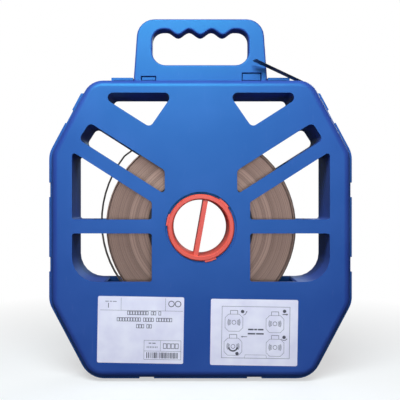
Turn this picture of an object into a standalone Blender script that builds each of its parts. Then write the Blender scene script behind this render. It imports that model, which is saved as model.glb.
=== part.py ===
# Steel strapping dispenser: a flat two-shell plastic case with a carry handle, and inside it a reel of
# stainless strap that turns on two finger hubs. The strap leaves by a slot in the case's top corner.
# Metres, +Z up. X runs across the case and Y through it, with the front face at -Y.
# The origin is on the surface that the case stands on, under its middle.

import math

import bmesh
import bpy
from mathutils import Matrix, Vector

# Case outline, shared by both shells. The front shell drops into the rear shell's lip.
CASE_WIDTH = 0.3006
CASE_DEPTH = 0.046
CORNER_CUT_WIDTH = 0.0398
CORNER_CUT_HEIGHT = 0.075
SIDE_CORNER_RADIUS = 0.024
END_CORNER_RADIUS = 0.025
WALL = 0.0026
FRONT_INSET = 0.0046
EDGE_RADIUS = 0.0075
LIP_REACH = 0.008
FIT_GAP = 0.0003
OVERRUN = 0.004

# Windows, placed on the front face from the hub's height and the case's middle line. The case's height follows.
HUB_HEIGHT = 0.1502
TOP_BORDER = 0.0178
WINDOW_SLOPE = math.radians(32.5)
CROSSBAR_WIDTH = 0.0135
SIDE_BORDER = 0.0257
WINDOW_INNER_X = 0.0475
CROSSBAR_TOP = 0.0079
MIDDLE_WINDOW_HEIGHT = 0.0658
LOWER_WINDOW_HEIGHT = 0.0468
SPOKE_WINDOW_WIDTH = 0.0195
SPOKE_WINDOW_SETBACK = 0.0170
SPOKE_WINDOW_OUTER_Z = 0.1016
SPOKE_WINDOW_INNER_X = 0.0350
TOP_WINDOW_Z = 0.1305
TOP_WINDOW_SETBACK = 0.0754
TOP_WINDOW_TIP_Z = 0.0970
TOP_WINDOW_STEEP = math.radians(55.4)
WINDOW_RADIUS = 0.0048
WINDOW_SMALL_RADIUS = 0.0024
LOWER_WINDOW_RADIUS = 0.0240
SKIRT_WALL = 0.0020
REEL_CLEARANCE = 0.0035

# Snap hooks of the front shell, in notches of the rear shell's lip.
NOTCH_LENGTH = 0.0145
NOTCH_DEPTH = 0.0045
HOOK_INSET = 0.0012
HOOK_SETBACK = 0.0008
HOOK_THICK = 0.0026
SIDE_HOOK_RISE = 0.037
BOTTOM_HOOK_X = 0.0535
TOP_HOOK_SHARE = 0.49

# Strap outlets in the two top corners, set back from the top wall's ends.
LIP_END_SETBACK = 0.0220
OUTLET_HEIGHT = 0.0080
OUTLET_WIDTH = 0.0220
OUTLET_SETBACK = 0.0145
LIP_GAP_DROP = 0.0155

# Carry handle, between the shells on the case's top wall.
HANDLE_RISE = 0.0587
HANDLE_FOOT_WIDTH = 0.1335
HANDLE_HEAD_WIDTH = 0.1245
HANDLE_THICK = 0.0150
HANDLE_CORNER_RADIUS = 0.0175
HANDLE_EDGE_RADIUS = 0.0018
GRIP_THICK = 0.0103
GRIP_LEG = 0.01425
GRIP_HEIGHT = 0.0354
GRIP_TOP_RADIUS = 0.0110
GRIP_FOOT_RADIUS = 0.0130
FINGER_MARGIN = 0.00355
FINGER_DROP = 0.0057
FINGER_COUNT = 3
LEFT_SLOT_INSET = 0.0076
LEFT_SLOT_WIDTH = 0.0150
LEFT_SLOT_HEIGHT = 0.0046
RIGHT_SLOT_INSET = 0.0061
RIGHT_SLOT_WIDTH = 0.0195
RIGHT_SLOT_HEIGHT = 0.0080
HANDLE_SLOT_BASE = 0.0018
TONGUE_GAP = 0.0009
TONGUE_SETBACK = 0.0012
BACK_RAIL_HEIGHT = 0.0110
BACK_RAIL_THICK = 0.0026

# Hubs: a ring with a finger web at each face, plugged into the reel core.
HUB_RADIUS = 0.0324
HUB_WALL = 0.0050
HUB_SETBACK = 0.0006
HUB_RUNNING_GAP = 0.0004
HUB_RECESS_DEPTH = 0.0026
HUB_COLLAR_WALL = 0.0028
HUB_COLLAR_DEPTH = 0.0036
HUB_FLANGE_REACH = 0.0048
HUB_FLANGE_THICK = 0.0020
HUB_CHAMFER = 0.0009
WEB_THICK = 0.0045
WEB_SETBACK = 0.0020
WEB_LEAN = math.radians(10.2)
LUG_COUNT = 3
LUG_REACH = 0.0014
LUG_CLEARANCE = 0.0008
LUG_THICK = 0.0012
LUG_ARC = math.radians(20)
LUG_START = math.radians(46.7)

# Reel core and the strap wound on it.
CORE_SLEEVE_WALL = 0.0026
CORE_RADIUS = 0.0519
CORE_RIM_WALL = 0.0024
CORE_RIM_HALF_WIDTH = 0.0110
CORE_DISC_THICK = 0.0024
CORE_HOLES = 6
CORE_HOLE_RADIUS = 0.0048
CORE_HOLE_POINTS = 16
STRAP_WIDTH = 0.0100
STRAP_THICK = 0.0004
STRAP_OFFSET = -0.0010
PACK_BUILD = 0.0424
LAYER_GAP = 0.0007

# The loose outer turn springs off the pack, from below, up the left side and over to the right outlet.
TURN_START = math.radians(487)
TURN_END = math.radians(137)
TURN_LIFT = 0.0093
TURN_LIFT_START_SHARE = 0.5
TURN_POINTS = 60
RUN_OUT_SHARES = ((-0.458, 0.646), (-0.371, 0.699), (-0.073, 0.847), (0.201, 0.946), (0.549, 0.982), (0.806, 0.995))
RUN_OUT_POINTS = 5
FOLD_SETBACK = 0.0013
FOLD_RADIUS = 0.0012
FOLD_POINTS = 7
STRAP_EXIT_DROP = 0.0037
TAIL_LENGTH = 0.0600
TAIL_RISE = math.radians(20.5)
TAIL_SKEW = 0.0170
TAIL_POINTS = 9

# Roundness, in points for each arc.
ARC_POINTS = 6
ROUND_POINTS = 72
LUG_POINTS = 5
FINGER_POINTS = 10
EDGE_SEGMENTS = 4
RIM_SEGMENTS = 3
FLAT_ANGLE = math.radians(0.05)
SHARP_ANGLE = math.radians(32)
RIGHT_ANGLE = math.pi / 2
FULL_TURN = 2 * math.pi

HALF_WIDTH = CASE_WIDTH / 2
HALF_DEPTH = CASE_DEPTH / 2
TOP_END_X = HALF_WIDTH - CORNER_CUT_WIDTH
WINDOW_OUTER_X = HALF_WIDTH - SIDE_BORDER
SPOKE_WINDOW_OUTER_X = WINDOW_OUTER_X - SPOKE_WINDOW_SETBACK
TOP_WINDOW_TIP_X = WINDOW_OUTER_X - TOP_WINDOW_SETBACK
LIP_END_X = TOP_END_X - LIP_END_SETBACK
OUTLET_X = TOP_END_X - OUTLET_SETBACK
FOLD_X = TOP_END_X - FOLD_SETBACK
CASE_HEIGHT = HUB_HEIGHT + TOP_WINDOW_Z + TOP_BORDER
FRONT_TOP = CASE_HEIGHT - FRONT_INSET
GRIP_WIDTH = HANDLE_HEAD_WIDTH - 2 * GRIP_LEG
FINGER_SPAN = GRIP_WIDTH - 2 * (GRIP_TOP_RADIUS + FINGER_MARGIN)
HUB_BORE = HUB_RADIUS - HUB_WALL
HUB_RECESS_RADIUS = HUB_RADIUS + LUG_REACH + LUG_CLEARANCE
COLLAR_BACK = HALF_DEPTH - WALL - HUB_COLLAR_DEPTH
FLANGE_FRONT = COLLAR_BACK - HUB_RUNNING_GAP
CORE_BORE = HUB_RADIUS + FIT_GAP
SLEEVE_HALF_WIDTH = FLANGE_FRONT - HUB_FLANGE_THICK - FIT_GAP
PACK_RADIUS = CORE_RADIUS + PACK_BUILD
REEL_CLEAR_RADIUS = PACK_RADIUS + LAYER_GAP + TURN_LIFT + REEL_CLEARANCE

collections = {}


def clear_scene():
    for obj in list(bpy.data.objects):
        bpy.data.objects.remove(obj)
    for label in ("strapping_dispenser", "cutters"):
        collections[label] = bpy.data.collections.new(label)
        bpy.context.scene.collection.children.link(collections[label])


def plastic(name, colour, roughness, metallic=0.0):
    material = bpy.data.materials.new(name)
    material.use_nodes = True
    shader = material.node_tree.nodes["Principled BSDF"]
    shader.inputs["Base Color"].default_value = (*colour, 1)
    shader.inputs["Roughness"].default_value = roughness
    shader.inputs["Metallic"].default_value = metallic
    return material


# Outlines are lists of (x, z) points, anticlockwise as seen from the front.


def arc(centre, radius, start, end, points=ARC_POINTS):
    steps = [start + (end - start) * i / points for i in range(points + 1)]
    return [(centre[0] + radius * math.cos(a), centre[1] + radius * math.sin(a)) for a in steps]


def circle(radius, centre=(0, HUB_HEIGHT), points=ROUND_POINTS):
    return arc(centre, radius, 0, FULL_TURN, points)[:-1]


def rounded(corners):
    """A polygon given as (x, z, radius) corners, with each corner rounded by its own radius."""
    outline = []
    for i, (x, z, radius) in enumerate(corners):
        here = Vector((x, z))
        back = (Vector(corners[i - 1][:2]) - here).normalized()
        ahead = (Vector(corners[(i + 1) % len(corners)][:2]) - here).normalized()
        half = back.angle(ahead) / 2
        middle = here + (back + ahead).normalized() * radius / math.sin(half)
        start = here + back * radius / math.tan(half) - middle
        turn = start.angle_signed(here + ahead * radius / math.tan(half) - middle)
        begin = math.atan2(start.y, start.x)
        outline += arc(middle, radius, begin, begin - turn)
    return outline


def offset(corners, distance):
    """Moves each side of an anticlockwise polygon outwards. Inside a rounded corner the radius grows alike."""
    moved = []
    for i, (x, z, radius) in enumerate(corners):
        here = Vector((x, z))
        back = (here - Vector(corners[i - 1][:2])).normalized()
        ahead = (Vector(corners[(i + 1) % len(corners)][:2]) - here).normalized()
        out = (Vector((back.y, -back.x)) + Vector((ahead.y, -ahead.x))).normalized()
        reach = distance / out.dot(Vector((back.y, -back.x)))
        moved.append((*(here + out * reach), max(radius + distance, WINDOW_SMALL_RADIUS)))
    return moved


def mirrored(corners):
    return [(-x, z, radius) for x, z, radius in reversed(corners)]


def case_corners(inset=0.0):
    """The eight-sided case outline, with sides cut at the corners."""
    low, high = CORNER_CUT_HEIGHT, CASE_HEIGHT - CORNER_CUT_HEIGHT
    right = [
        (TOP_END_X, 0, END_CORNER_RADIUS),
        (HALF_WIDTH, low, SIDE_CORNER_RADIUS),
        (HALF_WIDTH, high, SIDE_CORNER_RADIUS),
        (TOP_END_X, CASE_HEIGHT, END_CORNER_RADIUS),
    ]
    return offset(right + mirrored(right), -inset)


def left_windows():
    """The four windows left of the middle line, anticlockwise: two beside the crossbar, a spoke and a top one."""
    fall = math.tan(WINDOW_SLOPE)
    rise = SPOKE_WINDOW_WIDTH / math.cos(WINDOW_SLOPE)
    outer, inner = -WINDOW_OUTER_X, -WINDOW_INNER_X
    bar = HUB_HEIGHT + CROSSBAR_TOP
    upper_z = bar + MIDDLE_WINDOW_HEIGHT
    middle = [
        (outer, bar, WINDOW_SMALL_RADIUS),
        (inner, bar, WINDOW_SMALL_RADIUS),
        (inner, upper_z - (inner - outer) * fall, WINDOW_SMALL_RADIUS),
        (outer, upper_z, WINDOW_SMALL_RADIUS),
    ]
    floor = bar - CROSSBAR_WIDTH
    lower = [
        (outer, floor - LOWER_WINDOW_HEIGHT, LOWER_WINDOW_RADIUS),
        (inner, floor - LOWER_WINDOW_HEIGHT, WINDOW_SMALL_RADIUS),
        (inner, floor, WINDOW_SMALL_RADIUS),
        (outer, floor, WINDOW_SMALL_RADIUS),
    ]
    end_x, end_z = -SPOKE_WINDOW_OUTER_X, HUB_HEIGHT + SPOKE_WINDOW_OUTER_Z
    lean = Vector((-math.sin(WINDOW_SLOPE), -math.cos(WINDOW_SLOPE))) * SPOKE_WINDOW_WIDTH
    stop = -SPOKE_WINDOW_INNER_X
    run = (stop - end_x - lean.x) * fall
    spoke = [
        (end_x + lean.x, end_z + lean.y, WINDOW_RADIUS),
        (stop, end_z + lean.y - run, WINDOW_SMALL_RADIUS),
        (stop, end_z + lean.y - run + rise, WINDOW_RADIUS),
        (end_x, end_z, WINDOW_RADIUS),
    ]
    tip_z, top_z = HUB_HEIGHT + TOP_WINDOW_TIP_Z, HUB_HEIGHT + TOP_WINDOW_Z
    top = [
        (-TOP_WINDOW_TIP_X, tip_z, WINDOW_RADIUS),
        (-TOP_WINDOW_TIP_X + (top_z - tip_z) / math.tan(TOP_WINDOW_STEEP), top_z, WINDOW_RADIUS),
        (-TOP_WINDOW_TIP_X - (top_z - tip_z) / fall, top_z, WINDOW_RADIUS),
    ]
    return [middle, lower, spoke, top]


def all_windows():
    left = left_windows()
    return left + [mirrored(corners) for corners in left]


# Solids.


def keep(obj, material=None):
    collections["strapping_dispenser"].objects.link(obj)
    obj.data.materials.clear()
    obj.data.materials.append(material)
    obj.data.shade_smooth()
    obj.data.set_sharp_from_angle(angle=SHARP_ANGLE)
    return obj


def cutter(obj):
    collections["cutters"].objects.link(obj)
    obj.hide_render = True
    obj.display_type = "WIRE"
    return obj


def prism(name, loops, front, back):
    """Flat outlines, the first with the rest as holes in it, made solid from y = front to y = back."""
    curve = bpy.data.curves.new(name, "CURVE")
    curve.dimensions = "2D"
    curve.fill_mode = "BOTH"
    curve.extrude = (back - front) / 2
    for loop in loops:
        spline = curve.splines.new("POLY")
        spline.points.add(len(loop) - 1)
        for point, (x, z) in zip(spline.points, loop):
            point.co = (x, z, 0, 1)
        spline.use_cyclic_u = True
    holder = bpy.data.objects.new(name, curve)
    bpy.context.scene.collection.objects.link(holder)
    bpy.context.view_layer.update()
    graph = bpy.context.evaluated_depsgraph_get()
    mesh = bpy.data.meshes.new_from_object(holder.evaluated_get(graph))
    bpy.data.objects.remove(holder)
    weld(mesh)
    mesh.transform(Matrix.Translation((0, (front + back) / 2, 0)) @ Matrix.Rotation(RIGHT_ANGLE, 4, "X"))
    return bpy.data.objects.new(name, mesh)


def weld(mesh):
    soup = bmesh.new()
    soup.from_mesh(mesh)
    bmesh.ops.remove_doubles(soup, verts=soup.verts, dist=STRAP_THICK / 100)
    bmesh.ops.dissolve_limit(soup, angle_limit=FLAT_ANGLE, verts=soup.verts, edges=soup.edges)
    bmesh.ops.recalc_face_normals(soup, faces=soup.faces)
    soup.to_mesh(mesh)
    soup.free()


def lofted(name, layers):
    """A solid through outlines of as many points each, given as (y, outline) from front to back."""
    soup = bmesh.new()
    rings = [[soup.verts.new((x, y, z)) for x, z in outline] for y, outline in layers]
    for first, second in zip(rings, rings[1:]):
        for i in range(len(first)):
            soup.faces.new((first[i - 1], first[i], second[i], second[i - 1]))
    soup.faces.new(rings[0])
    soup.faces.new(rings[-1][::-1])
    bmesh.ops.recalc_face_normals(soup, faces=soup.faces)
    mesh = bpy.data.meshes.new(name)
    soup.to_mesh(mesh)
    soup.free()
    return bpy.data.objects.new(name, mesh)


def rim_steps(radius, segments):
    """(depth, inset) along a quarter-round rim, from its face to its side."""
    angles = [RIGHT_ANGLE * i / segments for i in range(segments + 1)]
    return [(radius * (1 - math.cos(a)), radius * (1 - math.sin(a))) for a in angles]


def tray(name, corners, face, rim, radius, segments):
    """A block from its face to its rim, both y values, with a quarter-round edge all round the face."""
    way = math.copysign(1, rim - face)
    layers = [
        (face + way * depth, rounded(offset(corners, -inset))) for depth, inset in rim_steps(radius, segments)
    ]
    layers.append((rim, rounded(corners)))
    return lofted(name, layers)


def bar(name, size, place, turn=0.0):
    """A block with its middle at place, turned in the plane of the case's face."""
    mesh = bpy.data.meshes.new(name)
    soup = bmesh.new()
    bmesh.ops.create_cube(soup, size=1)
    soup.to_mesh(mesh)
    soup.free()
    mesh.transform(Matrix.Rotation(turn, 4, "Y") @ Matrix.Diagonal((*size, 1)))
    mesh.transform(Matrix.Translation(place))
    return bpy.data.objects.new(name, mesh)


def boolean(obj, other, operation="DIFFERENCE"):
    modifier = obj.modifiers.new(other.name, "BOOLEAN")
    modifier.operation = operation
    modifier.object = cutter(other)
    return obj


def welded(obj):
    """Joins points that a cut left on top of each other, before the next cut meets them."""
    modifier = obj.modifiers.new("weld", "WELD")
    modifier.merge_threshold = STRAP_THICK / 100
    return obj


def bake(obj):
    """The object's evaluated mesh as its own, so that it can be joined with others."""
    bpy.context.view_layer.update()
    graph = bpy.context.evaluated_depsgraph_get()
    mesh = bpy.data.meshes.new_from_object(obj.evaluated_get(graph))
    obj.modifiers.clear()
    obj.data = mesh
    return obj


def joined(name, objects):
    """Separate solids as one object, to cut or to join with one Boolean."""
    soup = bmesh.new()
    for obj in objects:
        soup.from_mesh(obj.data)
        bpy.data.objects.remove(obj)
    mesh = bpy.data.meshes.new(name)
    soup.to_mesh(mesh)
    soup.free()
    return bpy.data.objects.new(name, mesh)


def windows_prism(name, spread, front, back):
    shapes = [prism(name, [rounded(offset(corners, spread))], front, back) for corners in all_windows()]
    return joined(name, shapes)


def skirts(name, front, back):
    """The walls that run from window to window between the shells, left out where the reel turns."""
    walls = windows_prism(name, SKIRT_WALL, front, back)
    boolean(walls, prism(name + "_reel_room", [circle(REEL_CLEAR_RADIUS)], front - OVERRUN, back + OVERRUN))
    return bake_cutter(walls)


def bake_cutter(obj):
    collections["cutters"].objects.link(obj)
    bake(obj)
    collections["cutters"].objects.unlink(obj)
    return obj


def hook_places():
    """Middle (x, z) and turn of each snap hook on the case outline, for the left and the right side."""
    cut = math.atan2(CORNER_CUT_WIDTH, CORNER_CUT_HEIGHT)
    cut_x = HALF_WIDTH - CORNER_CUT_WIDTH * TOP_HOOK_SHARE
    cut_z = CASE_HEIGHT - CORNER_CUT_HEIGHT * (1 - TOP_HOOK_SHARE)
    right = [
        (HALF_WIDTH, HUB_HEIGHT + SIDE_HOOK_RISE, 0.0),
        (HALF_WIDTH, HUB_HEIGHT - SIDE_HOOK_RISE, 0.0),
        (cut_x, cut_z, -cut),
        (BOTTOM_HOOK_X, 0.0, RIGHT_ANGLE),
    ]
    return right + [(-x, z, -turn) for x, z, turn in right]


def hook_blocks(name, inner, outer, length, front, back):
    """A block at each hook place, from the inner to the outer inset under the case outline."""
    blocks = []
    for x, z, turn in hook_places():
        inward = Vector((-math.copysign(1, x) * math.cos(turn), 0, math.sin(abs(turn))))
        if z > HUB_HEIGHT:
            inward.z = -inward.z
        place = Vector((x, (front + back) / 2, z)) + inward * (inner + outer) / 2
        blocks.append(bar(name, (inner - outer, back - front, length), place, turn))
    return joined(name, blocks)


def corner_boxes(name, inner_x, low, front, back):
    """A block over each top corner of the case, from inner_x outwards and from low upwards."""
    reach = HALF_WIDTH + OVERRUN - inner_x
    rise = CASE_HEIGHT + OVERRUN - low
    middle = ((front + back) / 2, low + rise / 2)
    blocks = [bar(name, (reach, back - front, rise), (side * (inner_x + reach / 2), *middle)) for side in (-1, 1)]
    return joined(name, blocks)


def outlet_cutter(name, front, back):
    """The slots in both top corners that the strap leaves by."""
    return corner_boxes(name, OUTLET_X, FRONT_TOP - OUTLET_HEIGHT, front, back)


def lip_gaps(name, spread):
    """Clears the lip at both top corners, where the strap is drawn out. A spread grows the gaps inwards."""
    front, back = -LIP_REACH - 2 * OVERRUN, OUTLET_WIDTH / 2 + spread
    tool = corner_boxes(name, LIP_END_X - spread, CASE_HEIGHT - LIP_GAP_DROP - spread, front, back)
    kept = prism(name + "_kept", [rounded(case_corners(FRONT_INSET - FIT_GAP + spread))], -CASE_DEPTH, CASE_DEPTH)
    return bake_cutter(boolean(tool, kept))


def front_shell(material):
    corners = case_corners(FRONT_INSET)
    shell = tray("front_shell", corners, -HALF_DEPTH, 0, EDGE_RADIUS, EDGE_SEGMENTS)
    inner = offset(corners, -WALL)
    boolean(shell, tray("front_room", inner, WALL - HALF_DEPTH, OVERRUN, EDGE_RADIUS - WALL, RIM_SEGMENTS))
    boolean(shell, skirts("front_skirts", WALL / 2 - HALF_DEPTH, -FIT_GAP / 2), "UNION")
    boolean(shell, hub_collar("front_collar", WALL / 2 - HALF_DEPTH, -COLLAR_BACK), "UNION")
    boolean(shell, windows_prism("front_windows", 0, -HALF_DEPTH - OVERRUN, OVERRUN))
    cut_hub_hole(shell, -HALF_DEPTH - OVERRUN, HUB_RECESS_DEPTH - HALF_DEPTH)
    boolean(shell, outlet_cutter("front_outlets", -OUTLET_WIDTH / 2, OVERRUN))
    hooks = hook_blocks(
        "front_hooks", FRONT_INSET + WALL / 2, HOOK_INSET, NOTCH_LENGTH - 2 * FIT_GAP, HOOK_SETBACK - LIP_REACH,
        HOOK_SETBACK + HOOK_THICK - LIP_REACH,
    )
    boolean(shell, hooks, "UNION")
    return keep(shell, material)


def hub_collar(name, front, back):
    return prism(name, [circle(HUB_RECESS_RADIUS + HUB_COLLAR_WALL)], front, back)


def cut_hub_hole(shell, recess_from, recess_to):
    hole = prism(shell.name + "_hole", [circle(HUB_RADIUS + HUB_RUNNING_GAP)], -CASE_DEPTH, CASE_DEPTH)
    boolean(shell, hole)
    boolean(shell, prism(shell.name + "_recess", [circle(HUB_RECESS_RADIUS)], recess_from, recess_to))


def rear_shell(material):
    corners = case_corners()
    shell = tray("rear_shell", corners, HALF_DEPTH, -LIP_REACH, EDGE_RADIUS, EDGE_SEGMENTS)
    boolean(shell, lip_gaps("lip_gaps", 0))
    room_front, inner = -LIP_REACH - OVERRUN, offset(corners, -WALL)
    room = tray("rear_room", inner, HALF_DEPTH - WALL, room_front, EDGE_RADIUS - WALL, RIM_SEGMENTS)
    boolean(room, lip_gaps("room_gaps", WALL))
    boolean(shell, bake_cutter(room))
    loops = [rounded(case_corners(WALL / 2)), rounded(case_corners(FRONT_INSET + WALL))[::-1]]
    seat = prism("rear_seat", loops, 0, FIT_GAP + WALL)
    boolean(seat, lip_gaps("seat_gaps", WALL / 2))
    boolean(shell, bake_cutter(seat), "UNION")
    front_place = [rounded(case_corners(FRONT_INSET - FIT_GAP))]
    welded(boolean(shell, prism("front_place", front_place, -LIP_REACH - OVERRUN, FIT_GAP)))
    boolean(shell, skirts("rear_skirts", FIT_GAP / 2, HALF_DEPTH - WALL / 2), "UNION")
    boolean(shell, hub_collar("rear_collar", COLLAR_BACK, HALF_DEPTH - WALL / 2), "UNION")
    boolean(shell, windows_prism("rear_windows", 0, -OVERRUN, HALF_DEPTH + OVERRUN))
    cut_hub_hole(shell, HALF_DEPTH - HUB_RECESS_DEPTH, HALF_DEPTH + OVERRUN)
    notches = hook_blocks(
        "rear_notches", FRONT_INSET - FIT_GAP, -OVERRUN, NOTCH_LENGTH, -LIP_REACH - OVERRUN, NOTCH_DEPTH - LIP_REACH
    )
    boolean(shell, notches)
    boolean(shell, outlet_cutter("rear_outlets", -LIP_REACH - OVERRUN, OUTLET_WIDTH / 2))
    boolean(shell, handle_bay())
    boolean(shell, back_rail(), "UNION")
    return keep(shell, material)


def handle_bay():
    """The gap in the lip that the handle's foot stands in."""
    width = HANDLE_FOOT_WIDTH + 2 * FIT_GAP
    front, back = -LIP_REACH - OVERRUN, HANDLE_THICK / 2 + FIT_GAP
    base = FRONT_TOP + FIT_GAP
    rise = FRONT_INSET + OVERRUN
    return bar("handle_bay", (width, back - front, rise), (0, (front + back) / 2, base + rise / 2))


def handle_slots(name, front, back, shrink):
    """Blocks for the two slots through the handle's foot, or for the tongues in them, which are smaller."""
    low = FRONT_TOP + HANDLE_SLOT_BASE
    slots = (
        (-1, LEFT_SLOT_INSET, LEFT_SLOT_WIDTH, LEFT_SLOT_HEIGHT),
        (1, RIGHT_SLOT_INSET, RIGHT_SLOT_WIDTH, RIGHT_SLOT_HEIGHT),
    )
    blocks = []
    for side, inset, width, height in slots:
        x = side * (HANDLE_FOOT_WIDTH / 2 - inset - width / 2)
        size = (width - 2 * shrink, back - front, height - 2 * shrink)
        blocks.append(bar(name, size, (x, (front + back) / 2, low + height / 2)))
    return joined(name, blocks)


def back_rail():
    """A rail behind the handle's foot. Its tongues pass through the foot's slots and lock it."""
    front = HANDLE_THICK / 2 + FIT_GAP
    middle = front + BACK_RAIL_THICK / 2
    base = CASE_HEIGHT - WALL / 2
    width = HANDLE_FOOT_WIDTH - HANDLE_CORNER_RADIUS / 2
    rail = bar("back_rail", (width, BACK_RAIL_THICK, BACK_RAIL_HEIGHT), (0, middle, base + BACK_RAIL_HEIGHT / 2))
    tongues = handle_slots("tongues", TONGUE_SETBACK - HANDLE_THICK / 2, middle, TONGUE_GAP)
    return bake_cutter(boolean(rail, tongues, "UNION"))


def grip_outline():
    """The finger opening: rounded corners below, and finger bumps along the top."""
    top = CASE_HEIGHT + HANDLE_RISE - GRIP_THICK
    low = top - GRIP_HEIGHT
    half = GRIP_WIDTH / 2
    foot_left = arc((-half + GRIP_FOOT_RADIUS, low + GRIP_FOOT_RADIUS), GRIP_FOOT_RADIUS, math.pi, 1.5 * math.pi)
    foot_right = arc((half - GRIP_FOOT_RADIUS, low + GRIP_FOOT_RADIUS), GRIP_FOOT_RADIUS, 1.5 * math.pi, 2 * math.pi)
    top_right = arc((half - GRIP_TOP_RADIUS, top - GRIP_TOP_RADIUS), GRIP_TOP_RADIUS, 0, math.pi / 2)
    top_left = arc((-half + GRIP_TOP_RADIUS, top - GRIP_TOP_RADIUS), GRIP_TOP_RADIUS, math.pi / 2, math.pi)
    steps = FINGER_COUNT * FINGER_POINTS
    bumps = []
    for i in range(steps + 1):
        share = i / steps
        wave = (1 - math.cos(FULL_TURN * FINGER_COUNT * share)) / 2
        bumps.append((FINGER_SPAN * (0.5 - share), top - FINGER_DROP * wave))
    return foot_left + foot_right + top_right + bumps + top_left


def pushed(outline, distance):
    """Moves each point of an anticlockwise outline straight out from it."""
    moved = []
    for i, point in enumerate(outline):
        along = Vector(outline[(i + 1) % len(outline)]) - Vector(outline[i - 1])
        moved.append(tuple(Vector(point) + Vector((along.y, -along.x)).normalized() * distance))
    return moved


def grip_cutter():
    """The finger opening as a cutter that flares to a rounded rim at both faces."""
    grip = grip_outline()
    half = HANDLE_THICK / 2
    rim = [(half - depth, pushed(grip, inset)) for depth, inset in rim_steps(HANDLE_EDGE_RADIUS, RIM_SEGMENTS)]
    outer = [(half + OVERRUN, rim[0][1])] + rim
    return lofted("grip_cutter", [(-y, outline) for y, outline in outer] + outer[::-1])


def carry_handle(material):
    base = FRONT_TOP + FIT_GAP
    top = CASE_HEIGHT + HANDLE_RISE
    foot, head = HANDLE_FOOT_WIDTH / 2, HANDLE_HEAD_WIDTH / 2
    corners = [
        (-foot, base, WINDOW_SMALL_RADIUS / 2),
        (foot, base, WINDOW_SMALL_RADIUS / 2),
        (head, top, HANDLE_CORNER_RADIUS),
        (-head, top, HANDLE_CORNER_RADIUS),
    ]
    half = HANDLE_THICK / 2
    rim = [
        (half - depth, rounded(offset(corners, -inset)))
        for depth, inset in rim_steps(HANDLE_EDGE_RADIUS, RIM_SEGMENTS)
    ]
    handle = lofted("carry_handle", [(-y, outline) for y, outline in rim] + rim[::-1])
    boolean(handle, grip_cutter())
    boolean(handle, handle_slots("handle_slots", -half - OVERRUN, half + OVERRUN, 0))
    return keep(handle, material)


def turned(name, profile):
    """A ring turned about the hub's axis from (radius, y) points, given round the section."""
    mesh = bpy.data.meshes.new(name)
    soup = bmesh.new()
    verts = [soup.verts.new((radius, y, 0)) for radius, y in profile]
    edges = [soup.edges.new((verts[i - 1], verts[i])) for i in range(len(verts))]
    bmesh.ops.spin(
        soup,
        geom=verts + edges,
        axis=(0, 1, 0),
        cent=(0, 0, 0),
        steps=ROUND_POINTS,
        angle=FULL_TURN,
        use_merge=True,
    )
    bmesh.ops.translate(soup, verts=soup.verts, vec=(0, 0, HUB_HEIGHT))
    soup.to_mesh(mesh)
    soup.free()
    weld(mesh)
    return bpy.data.objects.new(name, mesh)


def hub_profile():
    """Section of the front hub: the ring, its rim chamfers, and the flange behind the case's collar."""
    face = HUB_SETBACK - HALF_DEPTH
    flange = -FLANGE_FRONT
    flange_radius = HUB_RADIUS + HUB_FLANGE_REACH
    inner_end = -FIT_GAP
    return [
        (HUB_BORE, face + HUB_CHAMFER),
        (HUB_BORE + HUB_CHAMFER, face),
        (HUB_RADIUS - HUB_CHAMFER, face),
        (HUB_RADIUS, face + HUB_CHAMFER),
        (HUB_RADIUS, flange),
        (flange_radius, flange),
        (flange_radius, flange + HUB_FLANGE_THICK),
        (HUB_RADIUS, flange + HUB_FLANGE_THICK),
        (HUB_RADIUS, inner_end),
        (HUB_BORE, inner_end),
    ]


def hub(name, facing, material):
    """One finger hub. facing is 1 at the front, and -1 for its twin at the back."""
    ring = turned(name, [(radius, facing * y) for radius, y in hub_profile()])
    face = HUB_SETBACK - HALF_DEPTH
    web_depth = -FIT_GAP - face - WEB_SETBACK
    place = (0, facing * (-FIT_GAP - web_depth / 2), HUB_HEIGHT)
    web_length = HUB_BORE + HUB_RADIUS
    boolean(ring, bar(name + "_web", (WEB_THICK, web_depth, web_length), place, WEB_LEAN), "UNION")
    lug_mid = facing * (HUB_RECESS_DEPTH - HALF_DEPTH - FIT_GAP - LUG_THICK / 2)
    lugs = []
    for i in range(LUG_COUNT):
        middle = LUG_START + i * FULL_TURN / LUG_COUNT
        start, end = middle - LUG_ARC / 2, middle + LUG_ARC / 2
        centre = (0, HUB_HEIGHT)
        shape = arc(centre, HUB_RADIUS + LUG_REACH, start, end, LUG_POINTS)
        shape += arc(centre, (HUB_RADIUS + HUB_BORE) / 2, end, start, LUG_POINTS)
        lugs.append(prism("lug", [shape], lug_mid - LUG_THICK / 2, lug_mid + LUG_THICK / 2))
    boolean(ring, joined(name + "_lugs", lugs), "UNION")
    return keep(ring, material)


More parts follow.
